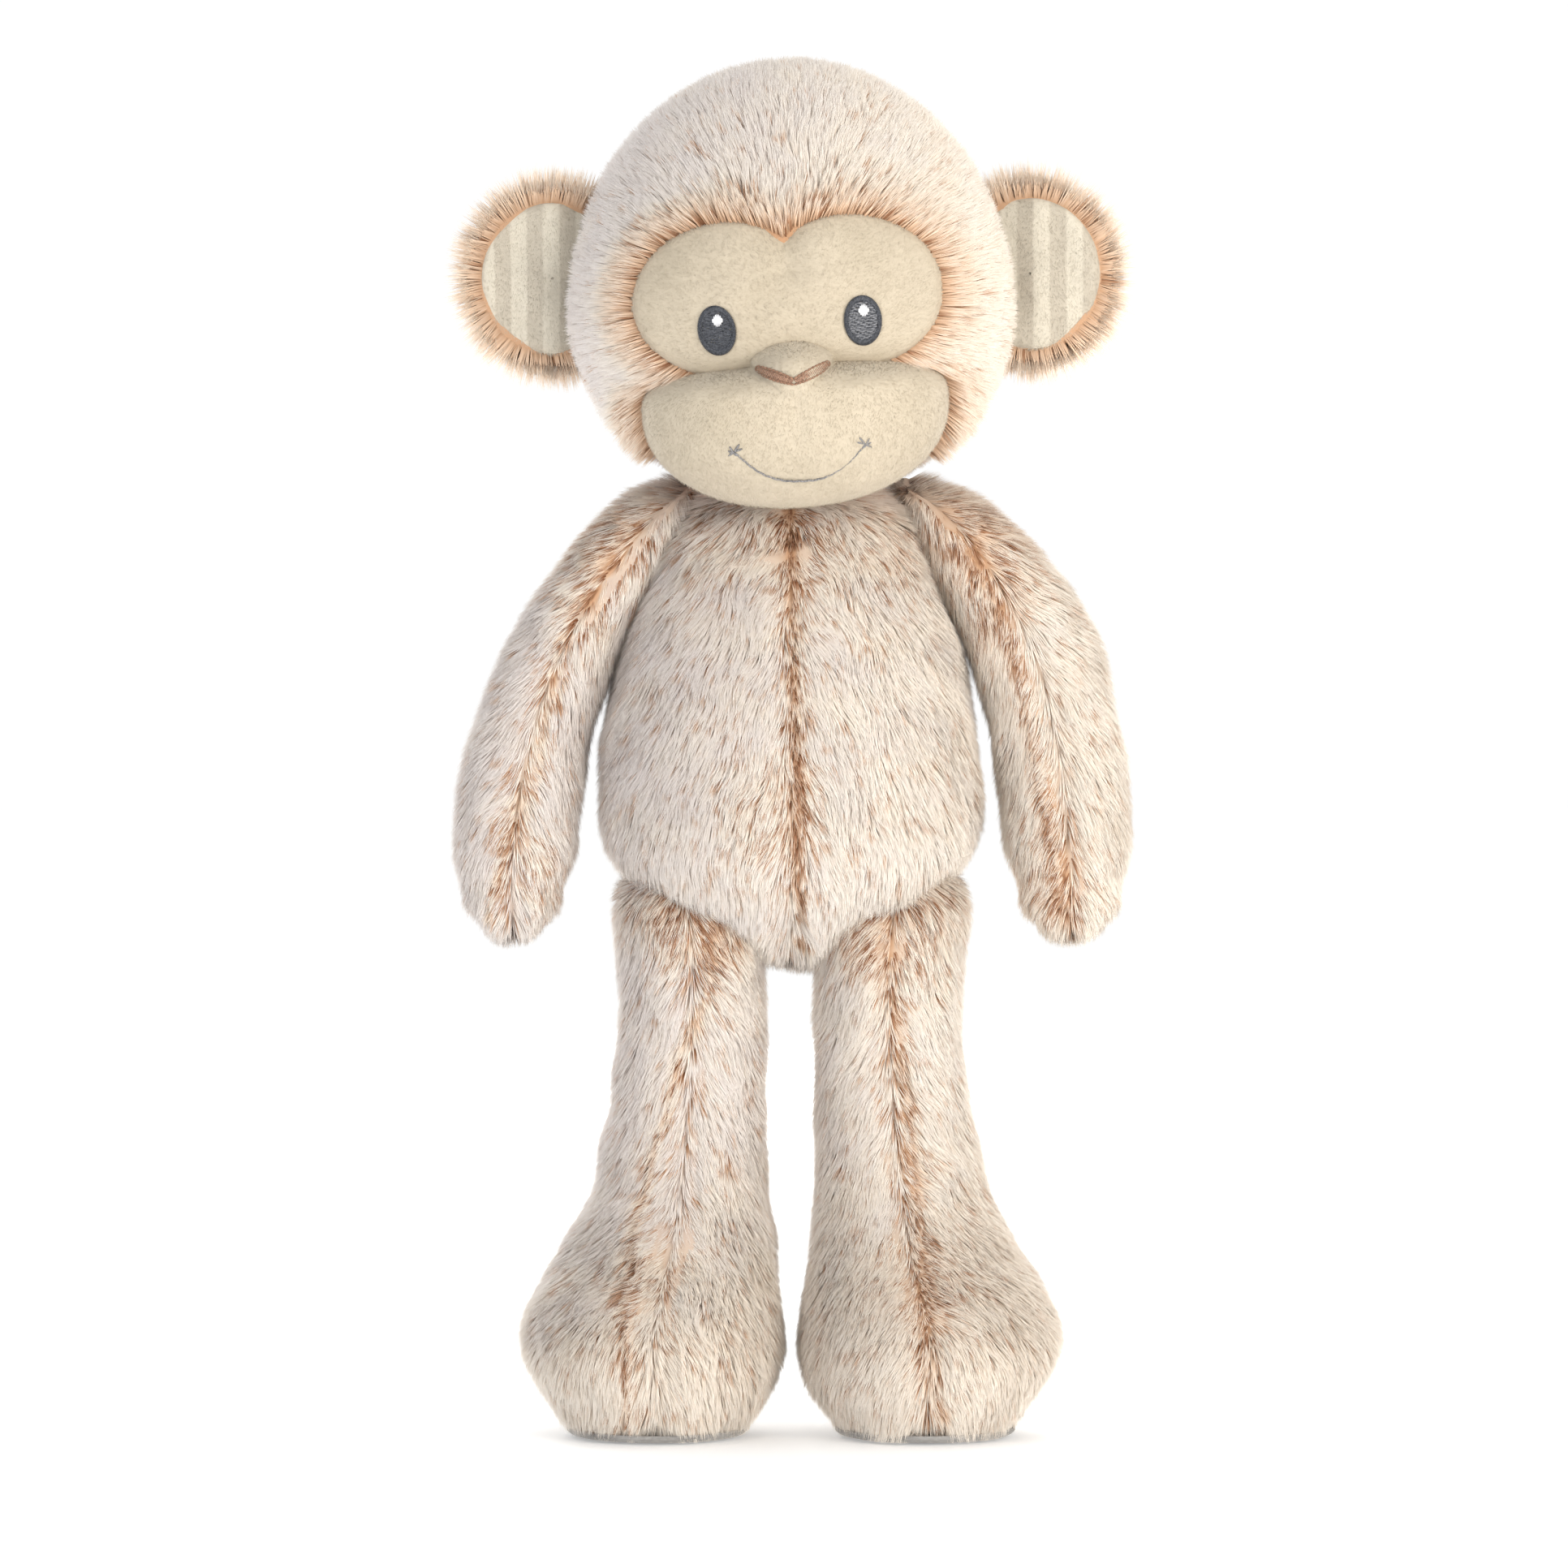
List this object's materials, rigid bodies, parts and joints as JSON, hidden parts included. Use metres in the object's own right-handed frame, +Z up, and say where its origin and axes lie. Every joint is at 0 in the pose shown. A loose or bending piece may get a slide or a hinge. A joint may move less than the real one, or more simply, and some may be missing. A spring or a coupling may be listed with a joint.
{
  "type": "stuffed monkey",
  "caption": "Standing stuffed monkey in long frosted pile, with a heart-shaped velour face, round striped ears, embroidered features and floppy jointed arms and legs.",
  "frame": {"origin": "on the floor under the soles, below the middle of the toy's box", "axes": "+Z up, the face looks along -Y, +X is the toy's own left"},
  "size_m": [0.1602, 0.1085, 0.3285],
  "materials": {
    "long_pile_plush": "long frosted pile, cream tips over tan roots",
    "face_velboa": "short matt velboa pile",
    "striped_velour": "short velour with woven-in stripes",
    "sole_plush": "short dense plush",
    "eye_thread": "satin-stitch embroidery",
    "glint_thread": "satin-stitch embroidery",
    "nostril_thread": "satin-stitch embroidery",
    "smile_thread": "stem-stitch embroidery",
    "stuffing": "loose polyester fibre"
  },
  "bodies": {
    "torso": {"left_torso_back_panel": "long_pile_plush", "left_torso_front_panel": "long_pile_plush", "right_torso_back_panel": "long_pile_plush", "right_torso_front_panel": "long_pile_plush", "torso_stuffing": "stuffing"},
    "neck": {"neck_stuffing": "stuffing"},
    "head": {"face_mask": "face_velboa", "head_front_panel": "long_pile_plush", "head_stuffing": "stuffing", "left_eye": "eye_thread", "left_eye_glint": "glint_thread", "left_head_back_panel": "long_pile_plush", "left_nostril": "nostril_thread", "muzzle_panel": "face_velboa", "right_eye": "eye_thread", "right_eye_glint": "glint_thread", "right_head_back_panel": "long_pile_plush", "right_nostril": "nostril_thread", "smile": "smile_thread"},
    "left_ear": {"left_ear_back": "long_pile_plush", "left_ear_lining": "striped_velour", "left_ear_padding": "stuffing"},
    "left_shoulder": {"left_shoulder_stuffing": "stuffing"},
    "left_arm": {"left_arm_inner_panel": "long_pile_plush", "left_arm_outer_panel": "long_pile_plush", "left_arm_stuffing": "stuffing"},
    "left_leg": {"left_leg_inner_panel": "long_pile_plush", "left_leg_outer_panel": "long_pile_plush", "left_leg_stuffing": "stuffing", "left_sole": "sole_plush"},
    "right_ear": {"right_ear_back": "long_pile_plush", "right_ear_lining": "striped_velour", "right_ear_padding": "stuffing"},
    "right_shoulder": {"right_shoulder_stuffing": "stuffing"},
    "right_arm": {"right_arm_inner_panel": "long_pile_plush", "right_arm_outer_panel": "long_pile_plush", "right_arm_stuffing": "stuffing"},
    "right_leg": {"right_leg_inner_panel": "long_pile_plush", "right_leg_outer_panel": "long_pile_plush", "right_leg_stuffing": "stuffing", "right_sole": "sole_plush"}
  },
  "joints": [
    {"name": "head_turn", "type": "hinge", "parent": "torso", "child": "neck", "pos_m": [0, 0.01025, 0.229], "axis": [0, 0, 1], "range_deg": [-45, 45], "stiffness_Nm_per_rad": 0.08},
    {"name": "head_nod", "type": "hinge", "parent": "neck", "child": "head", "pos_m": [0, 0.01025, 0.229], "axis": [1, 0, 0], "range_deg": [-10, 10], "stiffness_Nm_per_rad": 0.4},
    {"name": "left_ear_fold", "type": "hinge", "parent": "head", "child": "left_ear", "pos_m": [0.053, 0.00675, 0.2767], "axis": [0.113, 0, -0.9936], "range_deg": [-20, 20], "stiffness_Nm_per_rad": 0.02},
    {"name": "left_arm_swing", "type": "hinge", "parent": "torso", "child": "left_shoulder", "pos_m": [0.037, 0.00625, 0.208], "axis": [-1, 0, 0], "range_deg": [-45, 90]},
    {"name": "left_arm_lift", "type": "hinge", "parent": "left_shoulder", "child": "left_arm", "pos_m": [0.037, 0.00625, 0.208], "axis": [0, -1, 0], "range_deg": [0, 45]},
    {"name": "left_leg_swing", "type": "hinge", "parent": "torso", "child": "left_leg", "pos_m": [0.024, -0.01825, 0.129], "axis": [-1, 0, 0], "range_deg": [0, 90]},
    {"name": "right_ear_fold", "type": "hinge", "parent": "head", "child": "right_ear", "pos_m": [-0.053, 0.00675, 0.2767], "axis": [0.113, 0, 0.9936], "range_deg": [-20, 20], "stiffness_Nm_per_rad": 0.02},
    {"name": "right_arm_swing", "type": "hinge", "parent": "torso", "child": "right_shoulder", "pos_m": [-0.037, 0.00625, 0.208], "axis": [-1, 0, 0], "range_deg": [-45, 90]},
    {"name": "right_arm_lift", "type": "hinge", "parent": "right_shoulder", "child": "right_arm", "pos_m": [-0.037, 0.00625, 0.208], "axis": [0, 1, 0], "range_deg": [0, 45]},
    {"name": "right_leg_swing", "type": "hinge", "parent": "torso", "child": "right_leg", "pos_m": [-0.024, -0.01825, 0.129], "axis": [-1, 0, 0], "range_deg": [0, 90]}
  ]
}
